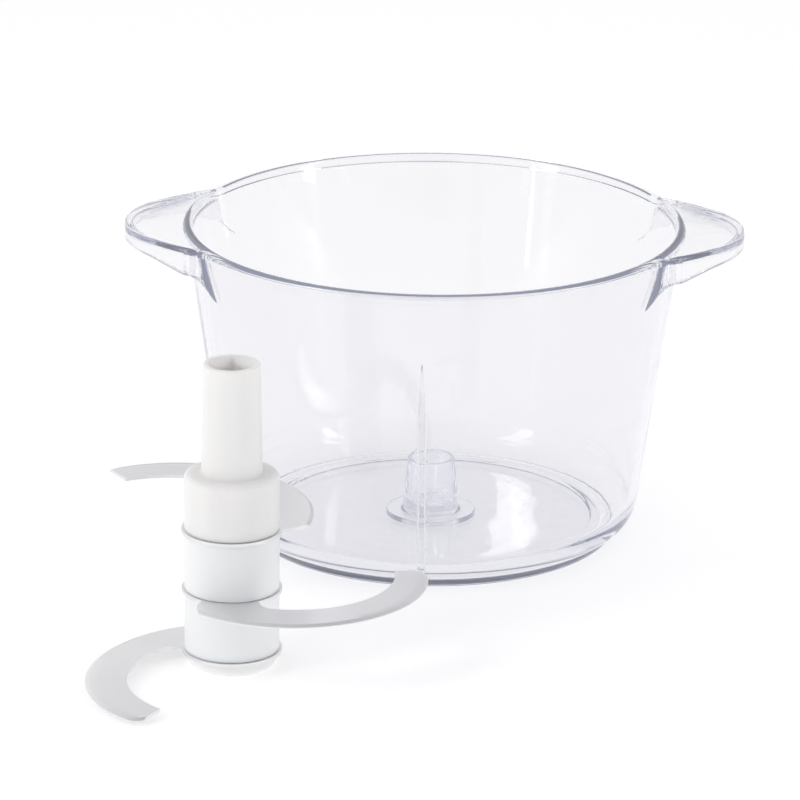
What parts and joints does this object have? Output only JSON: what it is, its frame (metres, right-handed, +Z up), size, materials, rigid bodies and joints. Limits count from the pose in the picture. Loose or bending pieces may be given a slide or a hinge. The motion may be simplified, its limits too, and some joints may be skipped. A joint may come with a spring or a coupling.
{
  "type": "food processor bowl and blade unit",
  "caption": "Clear food processor bowl with ear handles and a centre post, and its lift-out keyed shaft with sickle blades.",
  "frame": {"origin": "middle of the footprint of the bowl and the blade unit together, on the surface they stand on", "axes": "+Z up along the bowl's axis and the shaft, +X towards one handle, -Y towards the side where the blade unit stands"},
  "size_m": [0.2064, 0.2594, 0.105],
  "materials": {
    "clear_plastic": "clear, polished",
    "white_plastic": "satin white moulding",
    "cream_plastic": "slightly translucent cream moulding",
    "blade_steel": "satin, with a ground edge"
  },
  "bodies": {
    "bowl": {"bowl_shell": "clear_plastic", "centre_post": "clear_plastic"},
    "bearing": {"bearing_foot": "cream_plastic"},
    "rotor": {"drive_shaft": "white_plastic", "upper_blade": "blade_steel", "upper_spacer": "white_plastic", "middle_blade": "blade_steel", "lower_spacer": "white_plastic", "lower_blade": "blade_steel"}
  },
  "joints": [
    {"name": "blade_unit_lift", "type": "slide", "parent": "bowl", "child": "bearing", "axis": [0, 0, 1], "range_m": [0, 0.15]},
    {"name": "blade_spin", "type": "hinge", "parent": "bearing", "child": "rotor", "pos_m": [-0.05925, -0.07722, 0], "axis": [0, 0, 1], "continuous": true}
  ]
}
